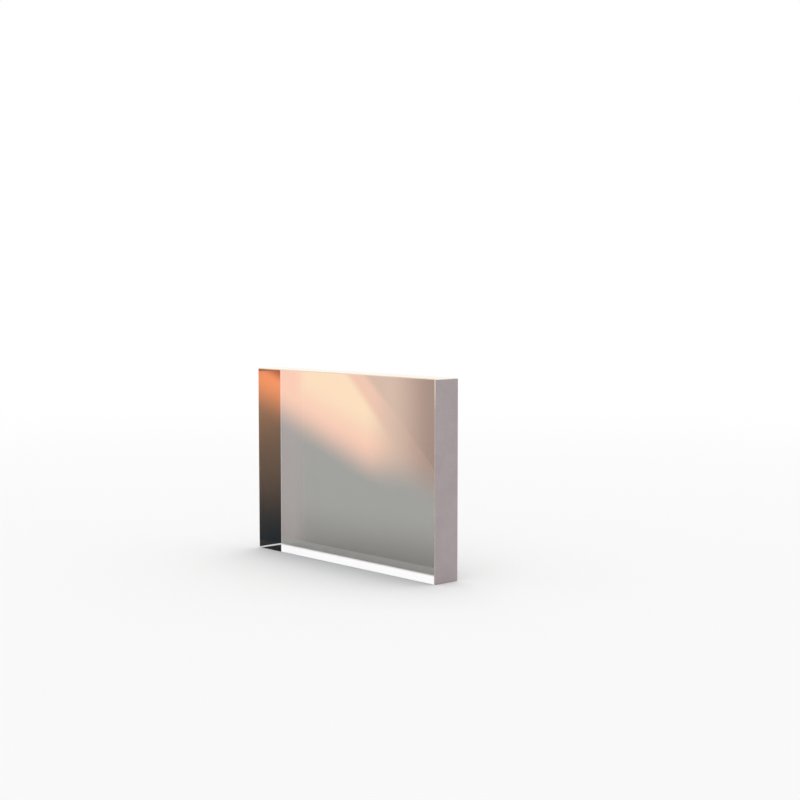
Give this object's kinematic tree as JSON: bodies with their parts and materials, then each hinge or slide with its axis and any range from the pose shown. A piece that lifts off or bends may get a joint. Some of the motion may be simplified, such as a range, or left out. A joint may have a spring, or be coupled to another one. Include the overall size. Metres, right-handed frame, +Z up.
{
  "type": "plate beamsplitter",
  "caption": "Rectangular glass plate with a partly mirrored front face and bevelled edges, which splits a light beam into a reflected and a transmitted one.",
  "frame": {"origin": "middle of the foot edge face, halfway between the two polished faces", "axes": "+X along the width, +Y from the coated face to the rear face, +Z up the height"},
  "size_m": [0.0356, 0.004, 0.0252],
  "materials": {
    "coated_glass": "polished faces, partly mirrored warm coating on the front one, finely ground edges"
  },
  "bodies": {
    "root": {"beamsplitter_plate": "coated_glass"}
  },
  "joints": []
}
